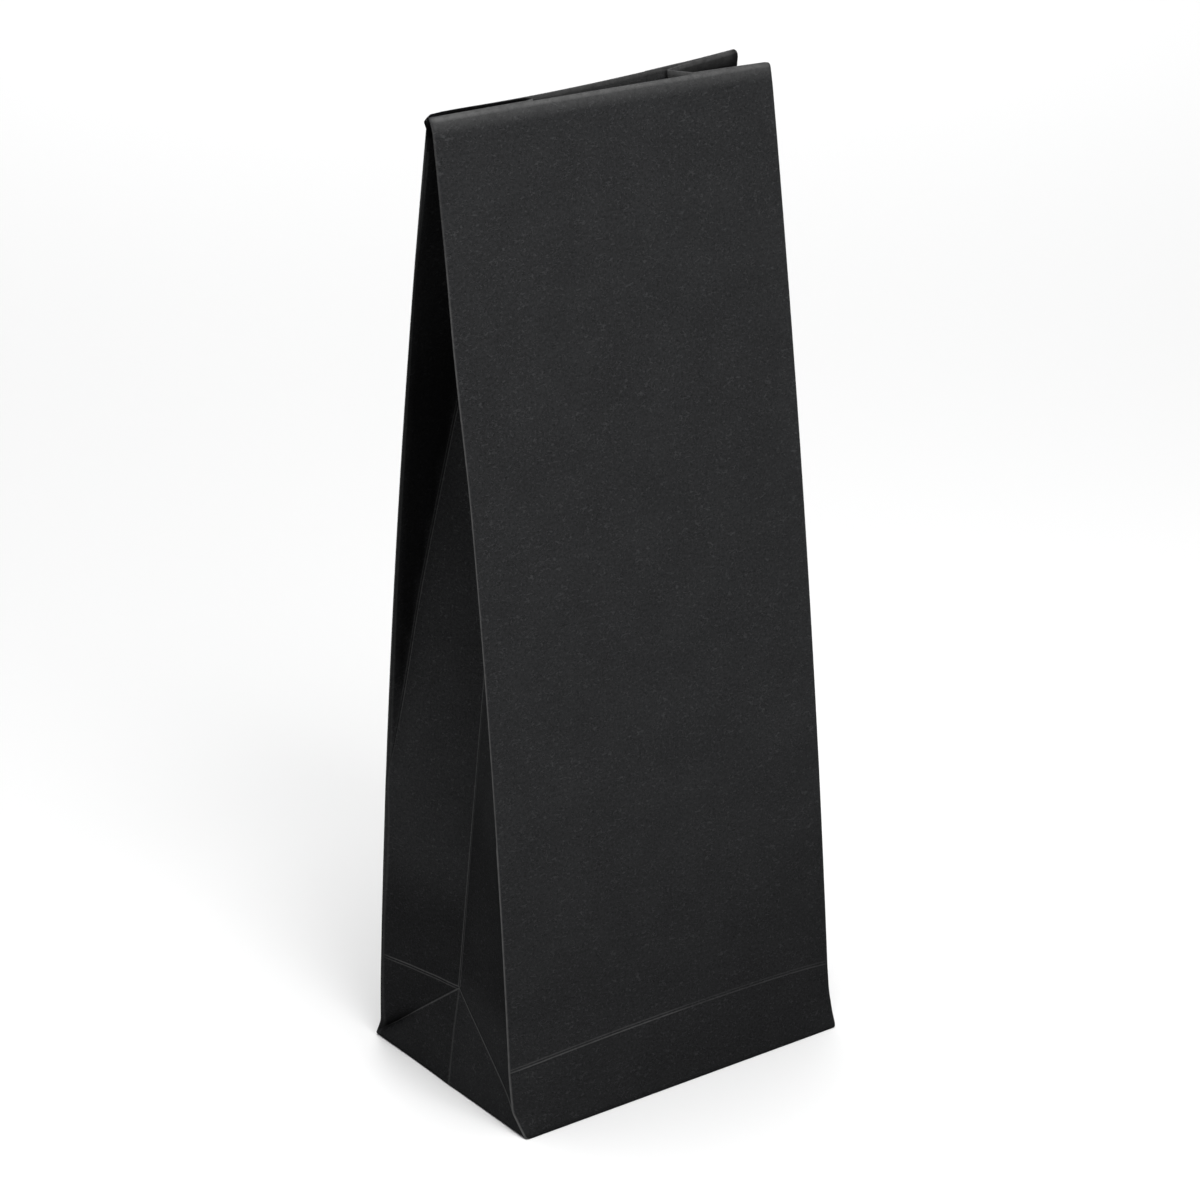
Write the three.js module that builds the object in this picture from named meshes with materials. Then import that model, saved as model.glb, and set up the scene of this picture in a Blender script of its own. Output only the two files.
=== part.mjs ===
// A tall black kraft paper gift bag: one folded tube of paper with a front panel, a back
// panel and a tucked side fold on each side, closed by a flat oblong base and open at the top.
// Millimetres, +Z up. X runs across the front panel, and the front panel faces -Y.
// The origin is the middle of the base, on the surface that the bag stands on.

import * as THREE from 'three';
import { mergeVertices } from 'three/addons/utils/BufferGeometryUtils.js';

// ---------------------------------------------------------------- driving dimensions

const PAPER = 0.25; // wall of the folded paper
const HEIGHT = 266.3; // standing height at the mouth
const PANEL_WIDTH = 106.8; // front and back panels, fold to fold
const BASE_WIDTH = 105; // at the base corners, which the folding pinches in
const BASE_DEPTH = 72.4;
const BASE_PLATE = 0.5; // the base is a few layers of paper
const CORNER_RADIUS = 1.6; // soft upper corners of the two panels

const KNEE_HEIGHT = 5.4; // the foot flares out below this
const LOW_HEIGHT = 15.5; // the shallow crease above the foot
const APEX_HEIGHT = 27; // where the base triangle's point meets the centre crease
const TUCK_HEIGHT = 79.5; // above this the side fold lies back against the panels

const APEX_TUCK = 5.5; // how far the centre crease is pushed in at the apex
const MOUTH_BOW = 2.9; // how far the back panel's rim curves in between its corners

// The four upright folds. The depths are the outer face's distance from the middle of the
// base, towards the front or the back: at the corner, the knee, the crease and the mouth.
// The bow is how far the fold bulges outward halfway up.
const FOLDS = {
  front: {
    facing: -1,
    left: { corner: BASE_DEPTH / 2, knee: 31.2, low: 30.0, mouth: 3.5, bow: 3.85 },
    right: { corner: BASE_DEPTH / 2, knee: 32.4, low: 31.2, mouth: 1.4, bow: 2.25 },
  },
  back: {
    facing: 1,
    left: { corner: BASE_DEPTH / 2, knee: 32.6, low: 31.7, mouth: -1.8, bow: 4.3 },
    right: { corner: BASE_DEPTH / 2, knee: 32.6, low: 31.8, mouth: 11.7, bow: 3.0 },
  },
};

// The side folds. flap is how much paper lies against each panel at the mouth, tuck is how
// deep the centre crease stands there, and clearance is the flap's distance from its panel,
// halfway up and at the mouth.
const SIDES = {
  left: { sign: -1, flap: 29.3, tuck: 30.9, clearance: 1.3, mouthClearance: 0.45 },
  right: { sign: 1, flap: 24, tuck: 28.4, clearance: 1.6, mouthClearance: 1.2 },
};
const FLAP_SWELL = 6.5; // the flap widens faster low down than a straight fold would

const STEPS_LOW = 2; // rows between the apex and the tuck
const STEPS_HIGH = 8; // rows between the tuck and the mouth
const STEPS_ACROSS = 6; // columns of the curved back panel
const CORNER_STEPS = 3; // rows in the rounded upper corners
const SHARPEST_MITRE = 2; // a crease's convex side is cut off at this many half papers

const KRAFT_BLACK = new THREE.MeshStandardMaterial({
  color: new THREE.Color().setRGB(0.028, 0.028, 0.029),
  roughness: 0.9,
  metalness: 0,
});

// ---------------------------------------------------------------- the paper's middle surface

const lerp = THREE.MathUtils.lerp;

function steps(from, to, count) {
  return Array.from({ length: count + 1 }, (_, i) => lerp(from, to, i / count));
}

// Distance of an upright fold from the middle of the base, at height z.
function foldDepth(fold, z) {
  if (z <= KNEE_HEIGHT) {
    return lerp(fold.corner, fold.knee, z / KNEE_HEIGHT);
  }
  if (z <= LOW_HEIGHT) {
    return lerp(fold.knee, fold.low, (z - KNEE_HEIGHT) / (LOW_HEIGHT - KNEE_HEIGHT));
  }
  const rise = (z - LOW_HEIGHT) / (HEIGHT - LOW_HEIGHT);
  return lerp(fold.low, fold.mouth, rise) + 4 * fold.bow * rise * (1 - rise);
}

// The upper corners of a panel are rounded, so its folds draw in near the mouth.
function cornerInset(z) {
  const rise = THREE.MathUtils.clamp(1 - (HEIGHT - z) / CORNER_RADIUS, 0, 1);
  return CORNER_RADIUS * (1 - Math.sqrt(1 - rise ** 2));
}

// Half the width between the two folds of a panel, at height z.
function halfWidth(z) {
  const base = (BASE_WIDTH - PAPER) / 2;
  const panel = (PANEL_WIDTH - PAPER) / 2;
  return z < KNEE_HEIGHT ? lerp(base, panel, z / KNEE_HEIGHT) : panel;
}

// How far the back panel curves in between its folds, at height z.
function panelBow(faceName, z) {
  if (faceName === 'front' || z <= TUCK_HEIGHT) {
    return 0;
  }
  return MOUTH_BOW * ((z - TUCK_HEIGHT) / (HEIGHT - TUCK_HEIGHT)) ** 2;
}

// A point of the front or back panel, x from its middle.
function panelPoint(faceName, x, z) {
  const face = FOLDS[faceName];
  const across = (x / halfWidth(z) + 1) / 2;
  const straight = lerp(foldDepth(face.left, z), foldDepth(face.right, z), across);
  const depth = straight - panelBow(faceName, z) * 4 * across * (1 - across) - PAPER / 2;
  return new THREE.Vector3(x, face.facing * depth, z);
}

function edgePoint(faceName, side, z) {
  return panelPoint(faceName, side.sign * (halfWidth(z) - cornerInset(z)), z);
}

// A point of the centre crease of a side fold.
function creasePoint(side, z) {
  const middle = edgePoint('front', side, z).add(edgePoint('back', side, z)).multiplyScalar(0.5);
  const atApex = (PANEL_WIDTH - PAPER) / 2 - APEX_TUCK;
  const atMouth = (PANEL_WIDTH - PAPER) / 2 - side.tuck;
  const out = z < APEX_HEIGHT
    ? lerp(halfWidth(0), atApex, z / APEX_HEIGHT)
    : lerp(atApex, atMouth, (z - APEX_HEIGHT) / (HEIGHT - APEX_HEIGHT));
  return middle.setX(side.sign * out);
}

// The fold line between the crease and the upright fold. It follows the base triangle's
// side up to the apex, comes back to the upright fold where the tuck starts, and then
// runs inward again as the edge of the flap that lies against the panel, in line with the
// first millimetre of the panel beside it.
function flapPoint(faceName, side, z) {
  if (z <= KNEE_HEIGHT) {
    return edgePoint(faceName, side, z);
  }
  if (z <= APEX_HEIGHT) {
    const climb = (z - KNEE_HEIGHT) / (APEX_HEIGHT - KNEE_HEIGHT);
    return edgePoint(faceName, side, KNEE_HEIGHT).lerp(creasePoint(side, APEX_HEIGHT), climb);
  }
  if (z <= TUCK_HEIGHT) {
    const climb = (z - APEX_HEIGHT) / (TUCK_HEIGHT - APEX_HEIGHT);
    return creasePoint(side, z).lerp(edgePoint(faceName, side, z), climb);
  }
  const rise = (z - TUCK_HEIGHT) / (HEIGHT - TUCK_HEIGHT);
  const flap = side.flap * rise + FLAP_SWELL * rise * (1 - rise);
  const fold = panelPoint(faceName, side.sign * halfWidth(z), z);
  const inward = panelPoint(faceName, side.sign * (halfWidth(z) - 1), z).sub(fold);
  const clearance = side.mouthClearance * rise + side.clearance * Math.sin(Math.PI * rise);
  const point = fold.addScaledVector(inward, flap);
  point.y -= FOLDS[faceName].facing * clearance;
  return point;
}

// The paper all round the bag at height z, counter-clockwise seen from above.
function middleLoop(z) {
  const { left, right } = SIDES;
  const reach = halfWidth(z) - cornerInset(z);
  const plain = (point) => ({ point, edge: false });
  const edge = (faceName, side) => ({ point: edgePoint(faceName, side, z), edge: true });
  const sidePoints = (side, names) => [
    plain(flapPoint(names[0], side, z)),
    plain(creasePoint(side, z)),
    plain(flapPoint(names[1], side, z)),
  ];
  const backColumns = steps(reach, -reach, STEPS_ACROSS).slice(1, -1);
  return [
    edge('front', left),
    edge('front', right),
    ...sidePoints(right, ['front', 'back']),
    edge('back', right),
    ...backColumns.map((x) => plain(panelPoint('back', x, z))),
    edge('back', left),
    ...sidePoints(left, ['back', 'front']),
  ];
}

// ---------------------------------------------------------------- paper with thickness

const TOUCHING = 1e-6;

// The nearest point of a loop, forwards or backwards, that isn't at the same place.
function neighbour(loop, i, stride) {
  for (let k = 1; k < loop.length; k += 1) {
    const other = loop[(i + stride * k + loop.length) % loop.length];
    if (other.point.distanceTo(loop[i].point) > TOUCHING) {
      return other.point;
    }
  }
  throw new Error('a loop needs some length');
}

function levelDirection(from, to) {
  return to.clone().sub(from).setZ(0).normalize();
}

function outwardNormal(direction) {
  return new THREE.Vector3(direction.y, -direction.x, 0);
}

// The mitred corner of a loop that runs `reach` outside the middle surface.
function mitre(point, arriving, leaving, reach) {
  const sum = outwardNormal(arriving).add(outwardNormal(leaving));
  const shift = sum.multiplyScalar(2 * reach / Math.max(sum.lengthSq(), TOUCHING));
  const convex = Math.sign(reach) * arriving.clone().cross(leaving).z > 0;
  if (convex) {
    shift.clampLength(0, SHARPEST_MITRE * Math.abs(reach));
  }
  return point.clone().add(shift);
}

// The outer face of the paper at height z. An upright fold has a small flat across it, so
// it takes two points, and a flap that starts in the fold shares the nearer of them.
function outerLoop(z) {
  const loop = middleLoop(z);
  const reach = PAPER / 2;
  return loop.flatMap(({ point, edge }, i) => {
    const arriving = levelDirection(neighbour(loop, i, -1), point);
    const leaving = levelDirection(point, neighbour(loop, i, 1));
    const first = point.clone().addScaledVector(outwardNormal(arriving).add(arriving), reach);
    const second = point.clone().addScaledVector(outwardNormal(leaving).sub(leaving), reach);
    if (edge) {
      return [first, second];
    }
    const before = loop[(i - 1 + loop.length) % loop.length];
    const after = loop[(i + 1) % loop.length];
    if (before.edge && before.point.distanceTo(point) < TOUCHING) {
      return [second];
    }
    if (after.edge && after.point.distanceTo(point) < TOUCHING) {
      return [first];
    }
    return [mitre(point, arriving, leaving, reach)];
  });
}

// The inner face of the paper at height z. Near an upright fold the two layers touch, and
// the inner face turns back where they part.
function innerLoop(z) {
  const loop = middleLoop(z);
  return loop.map(({ point }, i) => {
    const arriving = levelDirection(neighbour(loop, i, -1), point);
    const leaving = levelDirection(point, neighbour(loop, i, 1));
    return mitre(point, arriving, leaving, -PAPER / 2);
  });
}

// ---------------------------------------------------------------- the solid

const FACES = [];

function triangle(a, b, c) {
  const repeated = a.distanceTo(b) < TOUCHING || b.distanceTo(c) < TOUCHING
    || c.distanceTo(a) < TOUCHING;
  if (!repeated) {
    FACES.push(a, b, c);
  }
}

// Walls between loops that stand one above the other.
function walls(loops, inward) {
  for (let row = 0; row < loops.length - 1; row += 1) {
    const low = loops[row];
    const high = loops[row + 1];
    low.forEach((a, i) => {
      const next = (i + 1) % low.length;
      const corners = [a, low[next], high[next], high[i]];
      const [p, q, r, s] = inward ? corners.reverse() : corners;
      triangle(p, q, r);
      triangle(p, r, s);
    });
  }
}

// A level face that fills a loop of the base, looking up or down.
function baseFace(loop, upward) {
  const middle = new THREE.Vector3(0, 0, loop[0].z);
  loop.forEach((point, i) => {
    const next = loop[(i + 1) % loop.length];
    triangle(middle, upward ? point : next, upward ? next : point);
  });
}

// The paper's upper edge, between the outer and the inner loop.
function rim(outer, inner) {
  const flat = (loop) => loop.map((point) => new THREE.Vector2(point.x, point.y));
  const points = [...outer, ...inner];
  for (const [a, b, c] of THREE.ShapeUtils.triangulateShape(flat(outer), [flat(inner)])) {
    const corners = [points[a], points[b], points[c]];
    const turn = corners[1].clone().sub(corners[0]).cross(corners[2].clone().sub(corners[0])).z;
    triangle(...(turn > 0 ? corners : corners.reverse()));
  }
}

const CORNER_ROWS = steps(0, Math.PI / 2, CORNER_STEPS)
  .map((angle) => HEIGHT - CORNER_RADIUS * (1 - Math.sin(angle)));
const ROWS = [
  KNEE_HEIGHT,
  LOW_HEIGHT,
  ...steps(APEX_HEIGHT, TUCK_HEIGHT, STEPS_LOW),
  ...steps(TUCK_HEIGHT, HEIGHT, STEPS_HIGH).slice(1, -1),
  ...CORNER_ROWS,
];

const outerLoops = [0, ...ROWS].map(outerLoop);
const innerLoops = [BASE_PLATE, ...ROWS].map(innerLoop);
walls(outerLoops, false);
walls(innerLoops, true);
baseFace(outerLoops[0], false);
baseFace(innerLoops[0], true);
rim(outerLoops.at(-1), innerLoops.at(-1));

const paper = new THREE.BufferGeometry().setFromPoints(FACES);
const geometry = mergeVertices(paper, 1e-4);
geometry.computeVertexNormals();

const bag = new THREE.Mesh(geometry, KRAFT_BLACK);
bag.name = 'bag';

const group = new THREE.Group();
group.add(bag);

export default group;
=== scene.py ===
"""A tall gift bag of black kraft paper, standing empty on a pale floor.

The bag is one sheet of paper. The sheet is ruled and scored flat, folded into a tube with a
flat base and a tucked fold on each side, and its top is turned in for a hem. The paper is
worked in millimetres, and the studio is set out in metres.
"""
import logging
import math
from dataclasses import dataclass, field
from enum import Enum

import bmesh
import bpy
from mathutils import Matrix, Vector


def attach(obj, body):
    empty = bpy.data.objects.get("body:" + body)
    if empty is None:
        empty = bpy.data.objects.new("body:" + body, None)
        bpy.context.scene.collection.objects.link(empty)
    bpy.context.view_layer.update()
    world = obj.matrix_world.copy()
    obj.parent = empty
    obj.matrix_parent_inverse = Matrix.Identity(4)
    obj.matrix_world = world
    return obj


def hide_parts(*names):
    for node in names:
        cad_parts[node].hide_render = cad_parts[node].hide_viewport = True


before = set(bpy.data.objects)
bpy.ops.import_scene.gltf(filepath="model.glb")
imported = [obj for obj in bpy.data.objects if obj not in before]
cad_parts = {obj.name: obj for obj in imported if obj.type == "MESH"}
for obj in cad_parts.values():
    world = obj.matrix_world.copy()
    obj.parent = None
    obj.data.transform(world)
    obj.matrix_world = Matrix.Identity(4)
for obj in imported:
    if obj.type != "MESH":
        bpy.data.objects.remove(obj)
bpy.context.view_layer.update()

LOG = logging.getLogger("gift bag")
MM = 0.001  # one millimetre in metres
FAR = 12.0  # a distance that stands for no fold line near by, in mm
TINY = 1e-6  # a length that is as good as none, in mm
SHEET_SPAN = 600.0  # the length of paper across the whole UV square, in mm

Pair = tuple[float, float]
Triple = tuple[float, float, float]
Socket = bpy.types.NodeSocket


class Face(Enum):
    """The two broad panels, by the side of the middle plane that they stand on."""

    FRONT = -1
    BACK = 1


class Side(Enum):
    """The two side folds, by the side of the middle that they stand on."""

    LEFT = -1
    RIGHT = 1


class Part(Enum):
    """What a strip of the flat sheet becomes."""

    PANEL = "panel"
    SIDE_FOLD = "side fold"


def mix(low: float, high: float, share: float) -> float:
    """Goes from low to high as share goes from 0 to 1."""
    return low + (high - low) * share


def clamp(value: float, low: float = 0.0, high: float = 1.0) -> float:
    """Keeps a value between two limits."""
    return max(low, min(high, value))


def ease(value: float) -> float:
    """Goes smoothly from 0 to 1 as value does."""
    share = clamp(value)
    return share * share * (3 - 2 * share)


def swell(share: float) -> float:
    """Rises from 0 to 1 as share does, and dies away beyond."""
    return share * math.exp(1 - share)


def smooth_curve(share: float, start: float, end: float, leaving: float, meeting: float) -> float:
    """Goes from start to end, and leaves and meets them at given slopes.

    Args:
        share: how far along the curve, from 0 to 1.
        start: the value at 0.
        end: the value at 1.
        leaving: the slope at 0.
        meeting: the slope at 1.

    Returns:
        The value there.
    """
    rest = 1 - share
    return ((1 + 2 * share) * rest ** 2 * start + share * rest ** 2 * leaving
            + share ** 2 * (3 - 2 * share) * end - share ** 2 * rest * meeting)


@dataclass(frozen=True)
class Ramp:
    """A smooth step, from 0 at its start to 1 at its end, whichever way that lies."""

    start: float
    end: float

    def at(self, value: float) -> float:
        """How much of the step is made at a value."""
        return ease((value - self.start) / (self.end - self.start))


@dataclass(frozen=True)
class UprightFold:
    """How far an upright fold stands from the middle plane, from foot to mouth."""

    corner: float
    knee: float
    low: float
    mouth: float
    bow: float


@dataclass(frozen=True)
class TuckedSide:
    """How a side fold is tucked in, and how far its flaps keep off the panels."""

    flap: float
    tuck: float
    clearance: float
    mouth_clearance: float


@dataclass(frozen=True)
class FlatPanel:
    """How a panel stays flat over the foot while its upright folds are drawn in."""

    top: float = 91.0
    lean: float = 0.128
    fold_widths: Pair = (4.5, 24.0)
    widening: Ramp = Ramp(0.0, 75.0)


@dataclass(frozen=True)
class RimCurl:
    """How the front panel swells forwards below its rim, and curls back at it."""

    swell: float = 1.7
    right_share: float = 0.2
    swelling: Ramp = Ramp(60.0, 5.0)
    lip: float = 7.0
    lip_power: float = 2.4
    edge_turn: float = 0.55
    edge_width: float = 0.9
    edge_turning: Ramp = Ramp(45.0, 15.0)

    def at(self, beside: float, across: float, under: float) -> float:
        """How far the panel is moved towards the back.

        Args:
            beside: the distance from the panel's left fold.
            across: the share of the way across the panel, from its left.
            under: the depth below the rim.

        Returns:
            The distance, which is below 0 where the panel swells forwards.
        """
        if under > self.swelling.start:
            return 0.0
        turn = self.edge_turn * math.exp(-beside / self.edge_width) * self.edge_turning.at(under)
        lip = clamp(1 - under / self.lip) ** self.lip_power
        reach = self.swell * mix(1.0, self.right_share, clamp(across))
        return turn + reach * (lip - self.swelling.at(under))


@dataclass(frozen=True)
class EdgeOverhang:
    """How the front panel's left edge stands out past its fold, high up."""

    reach: float = 0.7
    width: float = 1.6
    starting: Ramp = Ramp(100.0, 60.0)
    rim_share: float = 0.4
    rim: Ramp = Ramp(7.0, 1.0)

    def at(self, beside: float, under: float) -> float:
        """How far the paper stands out.

        Args:
            beside: the distance from the panel's left fold.
            under: the depth below the rim.

        Returns:
            The distance to the left.
        """
        if under > self.starting.start:
            return 0.0
        level = self.starting.at(under) * mix(1.0, self.rim_share, self.rim.at(under))
        return self.reach * level * math.exp(-beside / self.width)


@dataclass(frozen=True)
class RimDrop:
    """How much lower the front panel's rim is than the back panel's."""

    left: float = 0.45
    right: float = 1.45
    power: float = 1.5
    starting: Ramp = Ramp(60.0, 0.0)

    def at(self, across: float, under: float) -> float:
        """How much lower the paper is, by the share across and the depth below the rim."""
        return mix(self.left, self.right, clamp(across) ** self.power) * self.starting.at(under)


@dataclass(frozen=True)
class BackSpring:
    """How the back panel springs back beside its upright left fold."""

    depth: float = 3.6
    widths: Pair = (17.0, 8.0)
    narrowing: Ramp = Ramp(140.0, 240.0)
    starting: Ramp = Ramp(0.0, 60.0)
    rim_share: float = 0.38
    rim: Ramp = Ramp(225.0, 255.0)

    def at(self, beside: float, z: float, over_tuck: float) -> float:
        """How far the panel stands back.

        Args:
            beside: the distance from the panel's left fold.
            z: the height.
            over_tuck: the height above the place where the sides are tucked in.

        Returns:
            The distance towards the back.
        """
        if over_tuck <= 0:
            return 0.0
        width = mix(*self.widths, self.narrowing.at(z))
        level = self.starting.at(over_tuck) * mix(1.0, self.rim_share, self.rim.at(z))
        return self.depth * level * swell(beside / width)


@dataclass(frozen=True)
class RolledCorner:
    """How the back panel's upper left corner is rolled over, outwards and down."""

    depth: float = 2.9
    radius: float = 0.95
    reach: float = 2.6
    least: float = 0.02


@dataclass(frozen=True)
class Dent:
    """A soft upright dent beside a fold, from above the knee to about the tuck."""

    width: float
    over_knee: Ramp
    over_tuck: Ramp


@dataclass(frozen=True)
class SideHollow:
    """How the paper of a side fold sinks in where its folds pull on it."""

    pocket: float = 3.2
    front_share: float = 0.25
    pocket_reach: float = 5.5
    fade_above: float = 4.0
    fade_below: float = 1.6
    foot: float = 4.0
    brow: float = 1.0
    brow_width: Ramp = Ramp(0.0, 14.0)
    brow_fade: float = 13.0
    dent: float = 0.8
    back_dent: Dent = Dent(3.0, Ramp(27.55, 49.55), Ramp(0.0, -12.0))
    front_dent: Dent = Dent(7.0, Ramp(0.0, 20.0), Ramp(10.0, -30.0))
    inner: Ramp = Ramp(0.0, 14.0)
    top: float = 10.0


@dataclass(frozen=True)
class FlapGap:
    """How far a flap keeps off its panel, which leaves room for the hem's layers."""

    loose: float = 0.28
    loosening: Ramp = Ramp(0.0, 40.0)
    hemmed: float = 0.62
    hem: Ramp = Ramp(14.0, 4.0)
    rounding: float = 0.6


@dataclass(frozen=True)
class GluedLap:
    """How the upper layer of the glued seam lies on the lower one."""

    thickness: float = 0.16
    width: float = 16.0
    slope: float = 5.0
    edge: float = 0.08

    def lift(self, back: float) -> float:
        """How far the paper of the lap stands out.

        Args:
            back: the distance back from its glued edge.

        Returns:
            The distance outwards.
        """
        if back > self.width:
            return 0.0
        return self.thickness * ease((self.width - back) / self.slope) * clamp(back / self.edge)


@dataclass(frozen=True)
class Spot:
    """A place on the sheet: the part it is in, and how far it is from that part's edge."""

    part: Part
    face: Face
    side: Side
    run: float


@dataclass(frozen=True)
class FoldedForm:
    """The bag's folded form: where each point of the flat sheet comes to lie, in mm."""

    height: float = 267.35
    hem: float = 30.0
    base_width: float = 104.75
    panel_width: float = 106.55
    side_width: float = 72.4
    seam: float = 18.0
    knee: float = 6.45
    low: float = 16.55
    apex: float = 28.05
    apex_tuck: float = 5.5
    tuck: float = 80.55
    mouth_bow: float = 2.9
    flap_swell: float = 6.5
    corner_fade: float = 3.0
    foot_radius: float = 0.8
    rim_radius: float = 0.1
    skin: float = 0.125
    softness: float = 0.3
    flat_panel: FlatPanel = FlatPanel()
    rim_curl: RimCurl = RimCurl()
    edge_overhang: EdgeOverhang = EdgeOverhang()
    rim_drop: RimDrop = RimDrop()
    back_spring: BackSpring = BackSpring()
    rolled_corner: RolledCorner = RolledCorner()
    side_hollow: SideHollow = SideHollow()
    flap_gap: FlapGap = FlapGap()
    lap: GluedLap = GluedLap()
    folds: dict[tuple[Face, Side], UprightFold] = field(default_factory=lambda: {
        (Face.FRONT, Side.LEFT): UprightFold(36.2, 31.2, 30.0, 3.5, 3.85),
        (Face.FRONT, Side.RIGHT): UprightFold(37.2, 33.2, 32.0, 1.75, 2.55),
        (Face.BACK, Side.LEFT): UprightFold(36.9, 32.6, 32.1, -2.0, 3.8),
        (Face.BACK, Side.RIGHT): UprightFold(36.2, 32.6, 31.8, 11.7, 3.0),
    })
    corner_radii: dict[tuple[Face, Side], float] = field(default_factory=lambda: {
        (Face.FRONT, Side.LEFT): 0.35,
        (Face.FRONT, Side.RIGHT): 1.0,
        (Face.BACK, Side.LEFT): 1.5,
        (Face.BACK, Side.RIGHT): 2.6,
    })
    corner_feet: dict[Face, float] = field(
        default_factory=lambda: {Face.FRONT: 6.45, Face.BACK: 2.05})
    knee_reach: dict[Side, float] = field(
        default_factory=lambda: {Side.LEFT: 1.0, Side.RIGHT: 4.0})
    sides: dict[Side, TuckedSide] = field(default_factory=lambda: {
        Side.LEFT: TuckedSide(29.3, 30.9, 1.3, 0.45),
        Side.RIGHT: TuckedSide(24.0, 28.4, 1.6, 1.2),
    })

    @property
    def half_side(self) -> float:
        """The paper from an upright fold to the centre crease."""
        return self.side_width / 2

    @property
    def half_panel(self) -> float:
        """The paper from the middle of a panel to its upright fold."""
        return self.panel_width / 2

    @property
    def uprights(self) -> tuple[float, float, float, float]:
        """Where the upright folds lie along the sheet.

        Returns:
            The places of the back left, front left, front right and back right folds.
        """
        start = self.seam + self.half_panel
        return (start, start + self.side_width, start + self.side_width + self.panel_width,
                start + 2 * self.side_width + self.panel_width)

    @property
    def length(self) -> float:
        """The whole way round the bag."""
        return 2 * (self.panel_width + self.side_width)

    def spot(self, along: float) -> Spot:
        """Finds what a place along the sheet becomes.

        Args:
            along: the distance along the sheet from the glued seam.

        Returns:
            The part, with the distance from the panel's middle, or into the side fold.
        """
        along %= self.length
        back_left, front_left, front_right, back_right = self.uprights
        if along <= back_left:
            return Spot(Part.PANEL, Face.BACK, Side.LEFT, self.seam - along)
        if along < front_left:
            into = along - back_left
            if into <= self.half_side:
                return Spot(Part.SIDE_FOLD, Face.BACK, Side.LEFT, into)
            return Spot(Part.SIDE_FOLD, Face.FRONT, Side.LEFT, self.side_width - into)
        if along <= front_right:
            middle = (front_left + front_right) / 2
            return Spot(Part.PANEL, Face.FRONT, Side.RIGHT, along - middle)
        if along < back_right:
            into = along - front_right
            if into <= self.half_side:
                return Spot(Part.SIDE_FOLD, Face.FRONT, Side.RIGHT, into)
            return Spot(Part.SIDE_FOLD, Face.BACK, Side.RIGHT, self.side_width - into)
        return Spot(Part.PANEL, Face.BACK, Side.RIGHT, self.half_panel - (along - back_right))

    def depth(self, face: Face, side: Side, z: float) -> float:
        """Distance of an upright fold from the middle plane.

        Args:
            face: the panel that the fold belongs to.
            side: the side that it is on.
            z: the height.

        Returns:
            The distance, towards the fold's own panel.
        """
        fold = self.folds[face, side]
        if z <= self.low:
            steep = (fold.knee - fold.corner) / self.knee
            gentle = (fold.low - fold.knee) / (self.low - self.knee)
            past, reach = z - self.knee, self.knee_reach[side]
            rounded = max(0.0, 1 - abs(past) / reach) ** 2 * (gentle - steep) * reach / 4
            return fold.knee + (steep if past < 0 else gentle) * past + rounded
        rise = (z - self.low) / (self.height - self.low)
        return mix(fold.low, fold.mouth, rise) + 4 * fold.bow * rise * (1 - rise)

    def half_width(self, z: float) -> float:
        """Half the width of a panel.

        Args:
            z: the height.

        Returns:
            The half width, which grows from the base's to the knee's.
        """
        if z < self.knee:
            below = clamp(1 - z / self.foot_radius)
            tip = self.foot_radius * (1 - math.sqrt(1 - below * below))
            return mix(self.base_width, self.panel_width, z / self.knee) / 2 - tip
        return self.half_panel

    def corner_inset(self, face: Face, side: Side, z: float) -> float:
        """How far a rounded upper corner draws in.

        Args:
            face: the panel that the corner belongs to.
            side: the side that it is on.
            z: the height.

        Returns:
            The distance, towards the middle of the panel.
        """
        radius = self.corner_radii[face, side]
        rise = clamp(1 - (self.height - z) / radius)
        return radius * (1 - math.sqrt(max(0.0, 1 - rise * rise)))

    def pull(self, face: Face, side: Side, z: float) -> float:
        """How far an upright fold is drawn in behind the flat of its panel.

        Args:
            face: the panel that the fold belongs to.
            side: the side that it is on.
            z: the height.

        Returns:
            The distance, towards the middle plane.
        """
        span = self.flat_panel.top
        top = self.depth(face, side, span)
        meeting = (top - self.depth(face, side, span - 1)) * span
        flat = smooth_curve(z / span, self.folds[face, side].corner, top,
                            -self.flat_panel.lean * span, meeting)
        return flat - self.depth(face, side, z)

    def roll(self, point: Vector) -> Vector:
        """Rolls the back panel's upper left corner over, outwards and down.

        Args:
            point: a point of the back panel, or of the flap that lies against it.

        Returns:
            The point, moved where it is near that corner.
        """
        corner = self.rolled_corner
        start = self.height - corner.depth
        along = point.z - start
        share = math.exp(-((point.x + self.half_panel) / corner.reach) ** 2)
        if along <= 0 or share < corner.least:
            return point
        radius = corner.radius / share
        angle = along / radius
        return Vector((point.x, point.y + radius * (1 - math.cos(angle)),
                       start + radius * math.sin(angle)))

    def bow(self, z: float) -> float:
        """How far the back panel curves in between its folds at height z."""
        return self.mouth_bow * max(0.0, (z - self.tuck) / (self.height - self.tuck)) ** 2

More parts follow.
